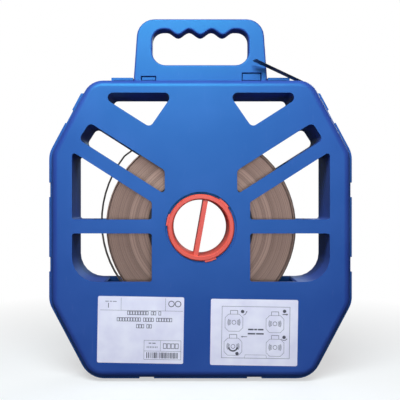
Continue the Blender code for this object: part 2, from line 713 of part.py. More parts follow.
def reel_core(material):
    """Sleeve, disc and rim that carry the strap. Both hubs plug into the sleeve."""
    sleeve = CORE_BORE + CORE_SLEEVE_WALL
    rim = CORE_RADIUS - CORE_RIM_WALL
    half_disc = CORE_DISC_THICK / 2
    section = [
        (CORE_BORE, -SLEEVE_HALF_WIDTH),
        (CORE_BORE, SLEEVE_HALF_WIDTH),
        (sleeve, SLEEVE_HALF_WIDTH),
        (sleeve, half_disc),
        (rim, half_disc),
        (rim, CORE_RIM_HALF_WIDTH),
        (CORE_RADIUS, CORE_RIM_HALF_WIDTH),
        (CORE_RADIUS, -CORE_RIM_HALF_WIDTH),
        (rim, -CORE_RIM_HALF_WIDTH),
        (rim, -half_disc),
        (sleeve, -half_disc),
        (sleeve, -SLEEVE_HALF_WIDTH),
    ]
    core = turned("reel_core", section)
    middle = (sleeve + rim) / 2
    holes = []
    for i in range(CORE_HOLES):
        angle = (i + 0.5) * FULL_TURN / CORE_HOLES
        centre = (middle * math.cos(angle), HUB_HEIGHT + middle * math.sin(angle))
        outline = circle(CORE_HOLE_RADIUS, centre, CORE_HOLE_POINTS)
        holes.append(prism("core_hole", [outline], -CORE_DISC_THICK, CORE_DISC_THICK))
    boolean(core, joined("core_holes", holes))
    return keep(core, material)


def strap_pack(material):
    """The closely wound strap under the loose outer turn, as a plain pack."""
    front, back = STRAP_OFFSET - STRAP_WIDTH / 2, STRAP_OFFSET + STRAP_WIDTH / 2
    inner = CORE_RADIUS + FIT_GAP
    section = [(inner, front), (inner, back), (PACK_RADIUS, back), (PACK_RADIUS, front)]
    return keep(turned("strap_pack", section), material)


def smooth_run(points, per_span):
    """Points on a Catmull-Rom curve through the given ones."""
    ends = [points[0] * 2 - points[1]] + points + [points[-1] * 2 - points[-2]]
    run = []
    for a, b, c, d in zip(ends, ends[1:], ends[2:], ends[3:]):
        for i in range(per_span):
            t = i / per_span
            run.append(
                (b * 2 + (c - a) * t + (a * 2 - b * 5 + c * 4 - d) * t * t + (b * 3 - a - c * 3 + d) * t**3) / 2
            )
    return run + [points[-1]]


def strap_route():
    """The middle line of the drawn strap, as (x, y, z): one loose turn, the run to the outlet, a fold, the tail."""
    turn = []
    for i in range(TURN_POINTS + 1):
        share = i / TURN_POINTS
        angle = TURN_START + (TURN_END - TURN_START) * share
        lift = max(0.0, (share - TURN_LIFT_START_SHARE) / (1 - TURN_LIFT_START_SHARE)) ** 3
        radius = PACK_RADIUS + LAYER_GAP + TURN_LIFT * lift
        turn.append(Vector((radius * math.cos(angle), STRAP_OFFSET, HUB_HEIGHT + radius * math.sin(angle))))
    exit_z = FRONT_TOP - STRAP_EXIT_DROP
    knots = [turn[-1]]
    for across, up in RUN_OUT_SHARES:
        knots.append(Vector((across * FOLD_X, STRAP_OFFSET, HUB_HEIGHT + up * (exit_z - HUB_HEIGHT))))
    knots.append(Vector((FOLD_X - FOLD_RADIUS, STRAP_OFFSET, exit_z)))
    run = smooth_run(knots, RUN_OUT_POINTS)
    fold = []
    centre = Vector((FOLD_X - FOLD_RADIUS, STRAP_OFFSET, exit_z + FOLD_RADIUS))
    sweep = math.pi - TAIL_RISE
    for i in range(1, FOLD_POINTS + 1):
        angle = -math.pi / 2 + sweep * i / FOLD_POINTS
        fold.append(centre + Vector((math.cos(angle), 0, math.sin(angle))) * FOLD_RADIUS)
    away = Vector((-math.cos(TAIL_RISE), 0, math.sin(TAIL_RISE)))
    tail = []
    for i in range(1, TAIL_POINTS + 1):
        share = i / TAIL_POINTS
        tail.append(fold[-1] + away * TAIL_LENGTH * share + Vector((0, -TAIL_SKEW * share, 0)))
    return turn[:-1] + run + fold + tail


def band(name, route, width, thick):
    """A flat band that follows the route edge-on to the front: four corners at each point, joined in a loft."""
    mesh = bpy.data.meshes.new(name)
    soup = bmesh.new()
    rings = []
    for i, here in enumerate(route):
        back = here - route[i - 1] if i else route[1] - here
        ahead = route[i + 1] - here if i + 1 < len(route) else back
        along = (back.normalized() + ahead.normalized()).normalized()
        out = along.cross(Vector((0, 1, 0))).normalized()
        side = out.cross(along)
        corners = ((-1, -1), (-1, 1), (1, 1), (1, -1))
        rings.append([soup.verts.new(here + out * a * thick / 2 + side * b * width / 2) for a, b in corners])
    for first, second in zip(rings, rings[1:]):
        for i in range(4):
            soup.faces.new((first[i - 1], first[i], second[i], second[i - 1]))
    soup.faces.new(rings[0])
    soup.faces.new(rings[-1][::-1])
    bmesh.ops.recalc_face_normals(soup, faces=soup.faces)
    soup.to_mesh(mesh)
    soup.free()
    return bpy.data.objects.new(name, mesh)


def least_gap(route):
    """The smallest distance of the route to itself, away from each point's own neighbourhood, less the band."""
    reach = 12
    gaps = [(a - b).length for i, a in enumerate(route) for b in route[i + reach :]]
    return min(gaps) - STRAP_THICK


def drawn_strap(material):
    route = strap_route()
    length = sum((b - a).length for a, b in zip(route, route[1:]))
    print(f"drawn strap: {length:.3f} m long, least gap to itself {least_gap(route) * 1000:.2f} mm")
    return keep(band("drawn_strap", route, STRAP_WIDTH, STRAP_THICK), material)


def main():
    clear_scene()
    blue = plastic("blue_polypropylene", (0.045, 0.135, 0.48), 0.42)
    red = plastic("red_polypropylene", (0.68, 0.095, 0.06), 0.38)
    dark = plastic("black_polypropylene", (0.03, 0.03, 0.035), 0.5)
    steel = plastic("stainless_strip", (0.56, 0.53, 0.50), 0.28, 1.0)
    front_shell(blue)
    rear_shell(blue)
    carry_handle(blue)
    hub("front_hub", 1, red)
    hub("rear_hub", -1, red)
    reel_core(dark)
    strap_pack(steel)
    drawn_strap(steel)


main()
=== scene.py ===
# Looks for the steel strapping dispenser: moulded finishes, the wound strip turn by turn, the two paper
# labels, the studio and the camera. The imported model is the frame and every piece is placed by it.

import math
import random

import bmesh
import bpy
from mathutils import Matrix, Vector


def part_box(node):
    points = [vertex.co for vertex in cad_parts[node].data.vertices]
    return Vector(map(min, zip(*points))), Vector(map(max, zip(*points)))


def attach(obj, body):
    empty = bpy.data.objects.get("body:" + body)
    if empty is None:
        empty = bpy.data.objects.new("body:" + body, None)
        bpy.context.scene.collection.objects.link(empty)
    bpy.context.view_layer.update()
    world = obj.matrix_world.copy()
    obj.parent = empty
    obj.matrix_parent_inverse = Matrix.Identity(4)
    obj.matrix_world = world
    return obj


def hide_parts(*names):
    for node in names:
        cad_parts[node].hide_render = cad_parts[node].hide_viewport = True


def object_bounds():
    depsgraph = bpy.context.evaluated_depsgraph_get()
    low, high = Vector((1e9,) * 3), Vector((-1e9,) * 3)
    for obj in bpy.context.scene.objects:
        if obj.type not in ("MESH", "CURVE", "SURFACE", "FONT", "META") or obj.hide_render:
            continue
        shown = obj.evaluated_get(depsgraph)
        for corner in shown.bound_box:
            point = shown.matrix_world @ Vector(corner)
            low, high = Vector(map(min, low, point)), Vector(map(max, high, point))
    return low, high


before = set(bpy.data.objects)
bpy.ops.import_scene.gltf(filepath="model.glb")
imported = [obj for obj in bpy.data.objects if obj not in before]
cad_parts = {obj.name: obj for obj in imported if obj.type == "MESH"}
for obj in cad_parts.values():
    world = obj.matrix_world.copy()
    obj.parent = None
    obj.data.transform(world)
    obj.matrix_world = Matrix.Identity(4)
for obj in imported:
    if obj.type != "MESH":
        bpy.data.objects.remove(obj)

CAD_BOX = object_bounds()
MM = 0.001
FULL_TURN = 2 * math.pi

# The photograph's camera: it stands level, a little left of the middle, and its frame is shifted.
CAMERA_X = -0.0154
CAMERA_Y = -0.553
CAMERA_RISE = 0.0219
CAMERA_LENS = 49.4
CAMERA_SENSOR = 36.0
CAMERA_SHIFT_X = 0.0375
CAMERA_SHIFT_Y = 0.0125
CAMERA_NEAR = 0.01

# The studio: what gloss sees of the room, the floor, and the lamps (place, aim, size, watts, colour).
AMBIENT = 0.08
GLOSS_FRONT = 0.10
GLOSS_BEHIND = 0.12
ROOM_FRONT = -0.3
ROOM_BEHIND = 0.25
FLOOR_GLOW = 0.55
FLOOR_NEAR = 0.22
FLOOR_FAR = 0.55
FLOOR_SIZE = 6.0
FLOOR_DROP = 0.05 * MM
LAMPS = {
    "key_softbox": ((-0.08, -0.46, 0.66), (0, 0, 0.22), (0.5, 0.3), 7.0, "#eefaff"),
    "front_fill": ((0.04, -1.2, 0.10), (0, 0, 0.12), (0.9, 0.9), 6.8, "#f3f0ff"),
    "back_rim": ((0.5, 0.8, 0.7), (0, 0, 0.2), (0.6, 0.4), 3.0, "#ffffff"),
}

# Sizes that the CAD gives.
FRONT_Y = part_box("front_shell")[0][1]
HUB_Z = (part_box("front_hub")[0][2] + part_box("front_hub")[1][2]) / 2
PACK_LOW, PACK_HIGH = (Vector(corner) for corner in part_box("strap_pack"))
CORE_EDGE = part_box("reel_core")[1][0]

# Softened moulded edges.
SHELL_EDGE = 0.45 * MM
HUB_EDGE = 0.4 * MM
EDGE_STEPS = 2
BEVEL_ANGLE = math.radians(33)
WELD_REACH = 0.004 * MM
FLAT_ANGLE = math.radians(0.3)
FLAT_WEIGHT = 100

# Strip wound on the reel. Turns stand a little out of line, each ninth one more, and the last ones are loose.
STRIP_THICK = 0.4 * MM
STRIP_PITCH = 0.424 * MM
STRIP_WIDTH_SHARE = 0.96
WIND_POINTS = 72
WIND_SEED = 11
WIND_STAGGER = 0.2 * MM
WIND_STRAY_EVERY = 9
WIND_STRAY_GAIN = 2.2
WIND_REACH = 0.4 * MM
WIND_CALM = 0.9
LOOSE_TURNS = 3
LOOSE_GAP = 0.7 * MM
LOOSE_RATE = 2
COIL_SHARP = math.radians(32)

# Labels on the front face: middle (x, z) from the hub's centre, size and turn.
LABEL_THICK = 0.16 * MM
LABEL_CORNER = 1.6 * MM
LABEL_GAP = 0.03 * MM
LABEL_STEPS = 5
LABEL_SHARP = math.radians(60)
PRINT_LIFT = 0.03 * MM
PRINT_LEVELS = 4
LEFT_LABEL = {
    "x": -58.3 * MM,
    "z": -98.7 * MM,
    "width": 83.2 * MM,
    "height": 64.3 * MM,
    "turn": math.radians(-1.0),
}
RIGHT_LABEL = {
    "x": 51.3 * MM,
    "z": -101.2 * MM,
    "width": 84.2 * MM,
    "height": 63.9 * MM,
    "turn": math.radians(-0.9),
}

# Widths of the printed lines, in millimetres.
HAIR_LINE = 0.26
RULE_LINE = 0.32
CASE_LINE = 0.34
FRAME_LINE = 0.4
COIL_LINE = 0.42
LETTER_LINE = 0.5
BOLD_LINE = 0.7


# Materials.


def linear(hex_colour):
    """An sRGB hex colour as linear RGBA."""
    parts = [int(hex_colour[i : i + 2], 16) / 255 for i in (1, 3, 5)]
    return [p / 12.92 if p <= 0.04045 else ((p + 0.055) / 1.055) ** 2.4 for p in parts] + [1.0]


def add(material, kind, settings=None, **links):
    """Adds a node. settings go to its properties or sockets, and links join other nodes' outputs to its inputs."""
    tree = material.node_tree
    node = tree.nodes.new(kind)
    for name, value in (settings or {}).items():
        if hasattr(node, name):
            setattr(node, name, value)
        else:
            node.inputs[name].default_value = value
    for name, output in links.items():
        socket = name.replace("_", " ")
        target = node.inputs[int(name[2:])] if name.startswith("in") and name[2:].isdigit() else node.inputs[socket]
        tree.links.new(output, target)
    return node


def surface(name, settings):
    """A material with its Principled shader's plain sockets set."""
    material = bpy.data.materials.new(name)
    material.use_nodes = True
    shader = material.node_tree.nodes["Principled BSDF"]
    for socket, value in settings.items():
        shader.inputs[socket].default_value = value
    return material, shader


def plug(material, output, socket):
    """Joins a node's output to a socket."""
    material.node_tree.links.new(output, socket)


def per_metre(millimetres):
    """Texture scale for a pattern with this spacing."""
    return 1 / (millimetres * MM)


def tone(material, factor, dark, light, low=0.0, high=1.0):
    """Maps a 0 to 1 pattern to colours between two hex values."""
    ramp = add(material, "ShaderNodeValToRGB", Fac=factor)
    ramp.color_ramp.elements[0].position = low
    ramp.color_ramp.elements[1].position = high
    ramp.color_ramp.elements[0].color = linear(dark)
    ramp.color_ramp.elements[1].color = linear(light)
    return ramp


def span(material, value, low, high, start=0.0, end=1.0):
    """Maps a pattern to a range of numbers."""
    settings = {"From Min": start, "From Max": end, "To Min": low, "To Max": high}
    return add(material, "ShaderNodeMapRange", settings, Value=value).outputs[0]


def moulded(name, shade, mid, light, roughness, grain_mm, gloss="#ffffff", shine=0.5):
    """Injection-moulded polypropylene: waxy satin skin, spark-eroded grain, faint flow clouds and rub marks."""
    material, shader = surface(name, {"IOR": 1.49, "Specular IOR Level": shine, "Specular Tint": linear(gloss)})
    spot = add(material, "ShaderNodeTexCoord").outputs["Object"]
    clouds = add(material, "ShaderNodeTexNoise", {"Scale": per_metre(55), "Detail": 3.0}, Vector=spot)
    grain = add(material, "ShaderNodeTexNoise", {"Scale": per_metre(grain_mm), "Detail": 2.0}, Vector=spot)
    base = add(material, "ShaderNodeValToRGB", Fac=clouds.outputs["Fac"])
    stops = base.color_ramp.elements
    stops[0].position, stops[1].position = 0.32, 0.70
    stops[0].color, stops[1].color = linear(shade), linear(light)
    stops.new(0.5).color = linear(mid)
    rubs = add(material, "ShaderNodeMapping", {"Scale": (1.0, 1.0, 0.12), "Rotation": (0.0, 0.6, 0.0)}, Vector=spot)
    scuffs = add(material, "ShaderNodeTexNoise", {"Scale": per_metre(2.2), "Detail": 5.0}, Vector=rubs.outputs[0])
    scuffed = span(material, scuffs.outputs["Fac"], 0.0, 1.0, 0.66, 0.78)
    pale = add(material, "ShaderNodeMix", {"data_type": "RGBA", "blend_type": "SCREEN"})
    plug(material, base.outputs["Color"], pale.inputs[6])
    pale.inputs[7].default_value = linear("#2c3038")
    plug(material, span(material, scuffed, 0.0, 0.55), pale.inputs[0])
    plug(material, pale.outputs[2], shader.inputs["Base Color"])
    dull = add(material, "ShaderNodeMath", {"operation": "MULTIPLY_ADD"}, in0=scuffed)
    dull.inputs[1].default_value = 0.12
    plug(material, span(material, clouds.outputs["Fac"], roughness - 0.05, roughness + 0.05), dull.inputs[2])
    plug(material, dull.outputs[0], shader.inputs["Roughness"])
    bump = add(material, "ShaderNodeBump", {"Strength": 0.16, "Distance": 0.05 * MM}, Height=grain.outputs["Fac"])
    sink = add(material, "ShaderNodeBump", {"Strength": 0.25, "Distance": 0.8 * MM}, Height=clouds.outputs["Fac"])
    plug(material, sink.outputs[0], bump.inputs["Normal"])
    plug(material, bump.outputs[0], shader.inputs["Normal"])
    return material


def rolled_strip(name):
    """Cold-rolled stainless strip: fine roll lines along its length and a dulled face, in a patchy grey that is
    darkened as painted shade for the dark room it reflects.
    """
    material, shader = surface(name, {"Metallic": 1.0, "Roughness": 0.26, "Anisotropic": 0.35})
    spot = add(material, "ShaderNodeTexCoord").outputs["Object"]
    lines = add(material, "ShaderNodeMapping", {"Scale": (1.0, 60.0, 1.0)}, Vector=spot)
    streaks = add(material, "ShaderNodeTexNoise", {"Scale": per_metre(18), "Detail": 4.0}, Vector=lines.outputs[0])
    painted_shade_patches = add(material, "ShaderNodeTexNoise", {"Scale": per_metre(14), "Detail": 2.0}, Vector=spot)
    # Painted shade: both greys are kept dark to stand for the dark surroundings the strip reflects; the patches
    # between them are random.
    colour = tone(material, painted_shade_patches.outputs["Fac"], "#4d4843", "#7d766e", 0.3, 0.7)
    plug(material, colour.outputs["Color"], shader.inputs["Base Color"])
    plug(material, span(material, streaks.outputs["Fac"], 0.2, 0.36), shader.inputs["Roughness"])
    bump = add(material, "ShaderNodeBump", {"Strength": 0.12, "Distance": 0.01 * MM}, Height=streaks.outputs["Fac"])
    plug(material, bump.outputs[0], shader.inputs["Normal"])
    return material


def slit_edges(name):
    """The strip's slit edges, turn on turn: duller and browner than its face, with a sheen that runs across them."""
    settings = {"Metallic": 1.0, "Roughness": 0.42, "Anisotropic": 0.6, "Anisotropic Rotation": 0.25}
    material, shader = surface(name, settings)
    spot = add(material, "ShaderNodeTexCoord").outputs["Object"]
    centred = add(material, "ShaderNodeVectorMath", {"operation": "SUBTRACT"}, in0=spot)
    centred.inputs[1].default_value = (0.0, 0.0, HUB_Z)
    flat = add(material, "ShaderNodeVectorMath", {"operation": "MULTIPLY"}, in0=centred.outputs[0])
    flat.inputs[1].default_value = (1.0, 0.0, 1.0)
    radius = add(material, "ShaderNodeVectorMath", {"operation": "LENGTH"}, in0=flat.outputs[0]).outputs["Value"]
    rings = add(
        material, "ShaderNodeTexNoise", {"noise_dimensions": "1D", "Scale": per_metre(1.3), "Detail": 3.0}, W=radius
    )
    wide = add(
        material, "ShaderNodeTexNoise", {"noise_dimensions": "1D", "Scale": per_metre(9), "Detail": 1.0}, W=radius
    )
    mixed = add(material, "ShaderNodeMath", {"operation": "MULTIPLY"}, in0=rings.outputs["Fac"])
    plug(material, wide.outputs["Fac"], mixed.inputs[1])
    colour = tone(material, mixed.outputs[0], "#7a685c", "#aa9382", 0.12, 0.42)
    plug(material, colour.outputs["Color"], shader.inputs["Base Color"])
    plug(material, span(material, rings.outputs["Fac"], 0.34, 0.5), shader.inputs["Roughness"])
    tangent = add(material, "ShaderNodeTangent", {"direction_type": "RADIAL", "axis": "Y"})
    plug(material, tangent.outputs[0], shader.inputs["Tangent"])
    return material


def label_paper(name):
    """Coated white label stock: cool white and slightly glossy, with a faint ripple where it was rubbed down."""
    material, shader = surface(name, {"Roughness": 0.45, "IOR": 1.5})
    spot = add(material, "ShaderNodeTexCoord").outputs["Object"]
    ripple = add(material, "ShaderNodeTexNoise", {"Scale": per_metre(16), "Detail": 2.0}, Vector=spot)
    fibre = add(material, "ShaderNodeTexNoise", {"Scale": per_metre(0.8), "Detail": 3.0}, Vector=spot)
    colour = tone(material, ripple.outputs["Fac"], "#dedbec", "#ebe9f4", 0.3, 0.7)
    plug(material, colour.outputs["Color"], shader.inputs["Base Color"])
    soft = add(material, "ShaderNodeBump", {"Strength": 0.2, "Distance": 0.3 * MM}, Height=ripple.outputs["Fac"])
    fine = add(material, "ShaderNodeBump", {"Strength": 0.08, "Distance": 0.02 * MM}, Height=fibre.outputs["Fac"])
    plug(material, soft.outputs[0], fine.inputs["Normal"])
    plug(material, fine.outputs[0], shader.inputs["Normal"])
    return material


def print_ink(name, dark, light):
    """Thermal-transfer print: a thin matt film, a little uneven in its black."""
    material, shader = surface(name, {"Roughness": 0.6})
    spot = add(material, "ShaderNodeTexCoord").outputs["Object"]
    patches = add(material, "ShaderNodeTexNoise", {"Scale": per_metre(1.1), "Detail": 3.0}, Vector=spot)
    colour = tone(material, patches.outputs["Fac"], dark, light, 0.35, 0.75)
    plug(material, colour.outputs["Color"], shader.inputs["Base Color"])
    return material


# Shapes.


def place(name, mesh, material, body):
    """Links a mesh as a piece that rides with a body."""
    obj = bpy.data.objects.new(name, mesh)
    bpy.context.scene.collection.objects.link(obj)
    mesh.materials.clear()
    mesh.materials.append(material)
    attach(obj, body)
    return obj


def smooth(mesh, angle):
    """Smooth shading, with the edges past this angle kept sharp."""
    mesh.shade_smooth()
    mesh.set_sharp_from_angle(angle=angle)


def softened(node, name, material, edge):
    """The CAD node's own shape with the small radius that a mould leaves on its sharp edges."""
    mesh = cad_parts[node].data.copy()
    soup = bmesh.new()
    soup.from_mesh(mesh)
    bmesh.ops.remove_doubles(soup, verts=soup.verts, dist=WELD_REACH)
    bmesh.ops.dissolve_limit(soup, angle_limit=FLAT_ANGLE, verts=soup.verts, edges=soup.edges)
    soup.to_mesh(mesh)
    soup.free()
    body = "reel" if "hub" in node else "case"
    obj = place(name, mesh, material, body)
    bevel = obj.modifiers.new("edge radius", "BEVEL")
    bevel.limit_method = "ANGLE"
    bevel.angle_limit = BEVEL_ANGLE
    bevel.width = edge
    bevel.segments = EDGE_STEPS
    bevel.use_clamp_overlap = True
    mesh.shade_smooth()
    flat = obj.modifiers.new("flat faces stay flat", "WEIGHTED_NORMAL")
    flat.weight = FLAT_WEIGHT
    flat.keep_sharp = True
    bpy.context.view_layer.update()
    graph = bpy.context.evaluated_depsgraph_get()
    done = bpy.data.meshes.new_from_object(obj.evaluated_get(graph), preserve_all_data_layers=True, depsgraph=graph)
    obj.modifiers.clear()
    obj.data = done
    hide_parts(node)
    return obj


def wound_strip(name, material):
    """The coil: one strip wound from the core outwards, turn on turn. Its last turns have sprung a little loose."""
    inner = CORE_EDGE + STRIP_PITCH / 2
    outer = (PACK_HIGH.x - PACK_LOW.x) / 2
    turns = int((outer - inner - LOOSE_GAP) / STRIP_PITCH)
    pitch = (outer - inner - STRIP_THICK - LOOSE_GAP) / turns
    chance = random.Random(WIND_SEED)
    drift = [chance.uniform(-1, 1) * WIND_STAGGER for _ in range(turns + 2)]
    drift = [step if i % WIND_STRAY_EVERY else step * WIND_STRAY_GAIN for i, step in enumerate(drift)]
    drift[0] = drift[-1] = 0.0
    middle, half = (PACK_LOW.y + PACK_HIGH.y) / 2, (PACK_HIGH.y - PACK_LOW.y) / 2
    mesh = bpy.data.meshes.new(name)
    soup = bmesh.new()
    rings = []
    for step in range(turns * WIND_POINTS + 1):
        share = step / WIND_POINTS
        low = int(share)
        blend = (1 - math.cos(math.pi * (share - low))) / 2
        shift = drift[low] * (1 - blend) + drift[low + 1] * blend
        shift = max(-WIND_REACH, min(WIND_REACH, shift)) * WIND_CALM
        angle = share * FULL_TURN + math.pi
        sprung = min(1.0, max(0.0, (share - turns + LOOSE_TURNS) * LOOSE_RATE))
        radius = inner + pitch * share + LOOSE_GAP * sprung
        section = ((radius, -half), (radius + STRIP_THICK, -half), (radius + STRIP_THICK, half), (radius, half))
        across, up = math.cos(angle), math.sin(angle)
        places = [(r * across, middle + y * STRIP_WIDTH_SHARE + shift, HUB_Z + r * up) for r, y in section]
        rings.append([soup.verts.new(point) for point in places])
    for first, second in zip(rings, rings[1:]):
        for i in range(4):
            soup.faces.new((first[i - 1], first[i], second[i], second[i - 1]))
    soup.faces.new(rings[0])
    soup.faces.new(rings[-1][::-1])
    bmesh.ops.recalc_face_normals(soup, faces=soup.faces)
    soup.to_mesh(mesh)
    soup.free()
    smooth(mesh, COIL_SHARP)
    coil = place(name, mesh, material, "reel")
    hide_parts("strap_pack")
    return coil


# Labels. Each is drawn flat in millimetres from its middle, then laid on the front face.


def rounded_plate(width, height, corner, steps):
    """A rectangle's outline with round corners, about its middle."""
    points = []
    for side, (sx, sz) in enumerate(((1, 1), (-1, 1), (-1, -1), (1, -1))):
        cx, cz = sx * (width / 2 - corner), sz * (height / 2 - corner)
        for i in range(steps + 1):
            angle = math.pi / 2 * (side + i / steps)
            points.append((cx + corner * math.cos(angle), cz + corner * math.sin(angle)))
    return points


def laid(soup, label, outline, low, high):
    """Raises an outline given from the label's middle, from low to high above the front face."""
    turn = Matrix.Rotation(label["turn"], 2)
    flat = [turn @ Vector(point) for point in outline]
    rings = []
    for lift in (low, high):
        rings.append([soup.verts.new((label["x"] + p.x, FRONT_Y - lift, HUB_Z + label["z"] + p.y)) for p in flat])
    soup.faces.new(rings[1])
    soup.faces.new(rings[0][::-1])
    for i in range(len(outline)):
        soup.faces.new((rings[0][i - 1], rings[0][i], rings[1][i], rings[1][i - 1]))


def label_sheet(name, label, material):
    """The label's own paper."""
    mesh = bpy.data.meshes.new(name)
    soup = bmesh.new()
    outline = rounded_plate(label["width"], label["height"], LABEL_CORNER, LABEL_STEPS)
    laid(soup, label, outline, LABEL_GAP, LABEL_THICK)
    bmesh.ops.recalc_face_normals(soup, faces=soup.faces)
    soup.to_mesh(mesh)
    soup.free()
    smooth(mesh, LABEL_SHARP)
    return place(name, mesh, material, "case")


def block(x, z, width, height):
    """A plain bar about its middle."""
    left, right, low, high = x - width / 2, x + width / 2, z - height / 2, z + height / 2
    return [(left, low), (right, low), (right, high), (left, high)]


def stroke(points, wide):
    """Thin quads along a line of points."""
    quads = []
    for a, b in zip(points, points[1:]):
        start, end = Vector(a), Vector(b)
        along = (end - start).normalized() * wide / 2
        across = Vector((-along.y, along.x))
        near, far = start - along, end + along
        quads.append([tuple(p) for p in (near - across, far - across, far + across, near + across)])
    return quads


def ring_points(x, z, radius, start=0.0, end=FULL_TURN, steps=20):
    """Points along a circle, or an arc of one."""
    angles = [start + (end - start) * i / steps for i in range(steps + 1)]
    return [(x + radius * math.cos(a), z + radius * math.sin(a)) for a in angles]


def printed(name, label, outlines, material):
    """Print on a label: every outline is given in millimetres from the label's middle."""
    mesh = bpy.data.meshes.new(name)
    soup = bmesh.new()
    for i, outline in enumerate(outlines):
        lift = LABEL_THICK + PRINT_LIFT * (1 + (i % PRINT_LEVELS) / (2 * PRINT_LEVELS))
        laid(soup, label, [(x * MM, z * MM) for x, z in outline], LABEL_THICK, lift)
    bmesh.ops.recalc_face_normals(soup, faces=soup.faces)
    soup.to_mesh(mesh)
    soup.free()
    return place(name, mesh, material, "case")


def text_row(x, z, widths, height, gap=1.1):
    """A row of plain bars that stands for a line of small words."""
    total = sum(widths) + gap * (len(widths) - 1)
    start = x - total / 2
    row = []
    for width in widths:
        row.append(block(start + width / 2, z, width, height))
        start += width + gap
    return row


def box_row(x, z, counts, width, height, wide):
    """A row of empty letter boxes in groups, that stands for a line of large words."""
    step, gap = width * 1.32, width * 1.15
    total = sum(counts) * step + gap * (len(counts) - 1)
    start = x - total / 2
    row = []
    for count in counts:
        for i in range(count):
            left, right = start + i * step, start + i * step + width
            low, high = z - height / 2, z + height / 2
            row += stroke([(left, low), (right, low), (right, high), (left, high), (left, low)], wide)
        start += count * step + gap
    return row


def case_diagram(x, z, scale):
    """A small line drawing of the dispenser itself: outline, handle, hub and coil."""
    half, low, high, cut = 7.6 * scale, -8.2 * scale, 6.4 * scale, 3.0 * scale
    outline = [
        (-half + cut, low), (half - cut, low), (half, low + cut), (half, high - cut),
        (half - cut, high), (-half + cut, high), (-half, high - cut), (-half, low + cut), (-half + cut, low),
    ]
    lines = stroke([(x + px, z + pz) for px, pz in outline], CASE_LINE)
    handle = [(-3.2, 6.4), (-3.0, 9.6), (3.0, 9.6), (3.2, 6.4)]
    lines += stroke([(x + px * scale, z + pz * scale) for px, pz in handle], LETTER_LINE)
    lines += stroke(ring_points(x, z - 0.6 * scale, 1.7 * scale), LETTER_LINE)
    for start in (math.radians(150), math.radians(-30)):
        for radius in (3.2, 3.9, 4.6, 5.3):
            arc = ring_points(x, z - 0.6 * scale, radius * scale, start, start + math.radians(60), 8)
            lines += stroke(arc, COIL_LINE)
    return lines


def arrow(points, wide, head):
    """A line along the points with a plain head at its end."""
    lines = stroke(points, wide)
    tip, back = Vector(points[-1]), Vector(points[-2])
    along = (tip - back).normalized()
    across = Vector((-along.y, along.x))
    lines.append([tuple(tip + along * head), tuple(tip + across * head * 0.6), tuple(tip - across * head * 0.6)])
    return lines


def barcode(x, z, width, height):
    """Plain stripes of unlike widths."""
    chance = random.Random(5)
    stripes, at = [], x - width / 2
    while at < x + width / 2 - 1.2:
        wide = chance.choice((0.35, 0.5, 0.8, 1.1))
        stripes.append(block(at + wide / 2, z, wide, height))
        at += wide + chance.choice((0.4, 0.6, 0.9))
    return stripes


def two_rings(x, z, radius, apart):
    """Two open rings side by side."""
    rings = [ring_points(x + side * apart / 2, z, radius) for side in (-1, 1)]
    return stroke(rings[0], BOLD_LINE) + stroke(rings[1], BOLD_LINE)


def contents_label(paper, ink, faint):
    """The left label: a ruled head, three rows of empty letter boxes, and a boxed corner with stripes."""
    label = LEFT_LABEL
    label_sheet("contents_label", label, paper)
    half_width, half_height = label["width"] / MM / 2, label["height"] / MM / 2
    rules = stroke([(-half_width + 2.5, 18.7), (half_width - 1.2, 18.7)], RULE_LINE)
    rules += stroke([(-19.2, half_height - 1.5), (-19.2, 18.7)], RULE_LINE)
    rules += stroke([(23.7, half_height - 1.5), (23.7, 18.7)], RULE_LINE)
    rules += stroke([(3.6, -9.9), (39.2, -9.9), (39.2, -28.3), (3.6, -28.3), (3.6, -9.9)], RULE_LINE)
    rules += stroke([(19.4, -9.9), (19.4, -20.2)], RULE_LINE)
    rules += stroke([(3.6, -20.2), (39.2, -20.2)], RULE_LINE)
    rules += text_row(-29.0, 27.2, (3.4, 2.2, 3.8), 0.7, 0.8)
    rules += text_row(11.4, -12.6, (2.6, 3.2), 0.9, 0.9)
    rules += text_row(11.4, -16.4, (0.7,) * 7, 1.5, 0.9)
    printed("contents_label_rules", label, rules, faint)
    words = box_row(3.5, 16.3, (8, 2, 1), 1.95, 3.3, LETTER_LINE)
    words += box_row(3.9, 10.0, (9, 4, 6), 1.95, 3.3, LETTER_LINE)
    words += box_row(3.5, 3.6, (3, 2), 1.95, 3.3, LETTER_LINE)
    words += box_row(29.9, -15.2, (4,), 2.9, 4.6, 0.55)
    words += [block(-31.4, 23.4, 0.7, 4.6)]
    words += two_rings(32.6, 25.6, 2.7, 6.4)
    printed("contents_label_bars", label, words, ink)
    printed("contents_label_stripes", label, barcode(21.4, -24.3, 31.0, 5.6), ink)


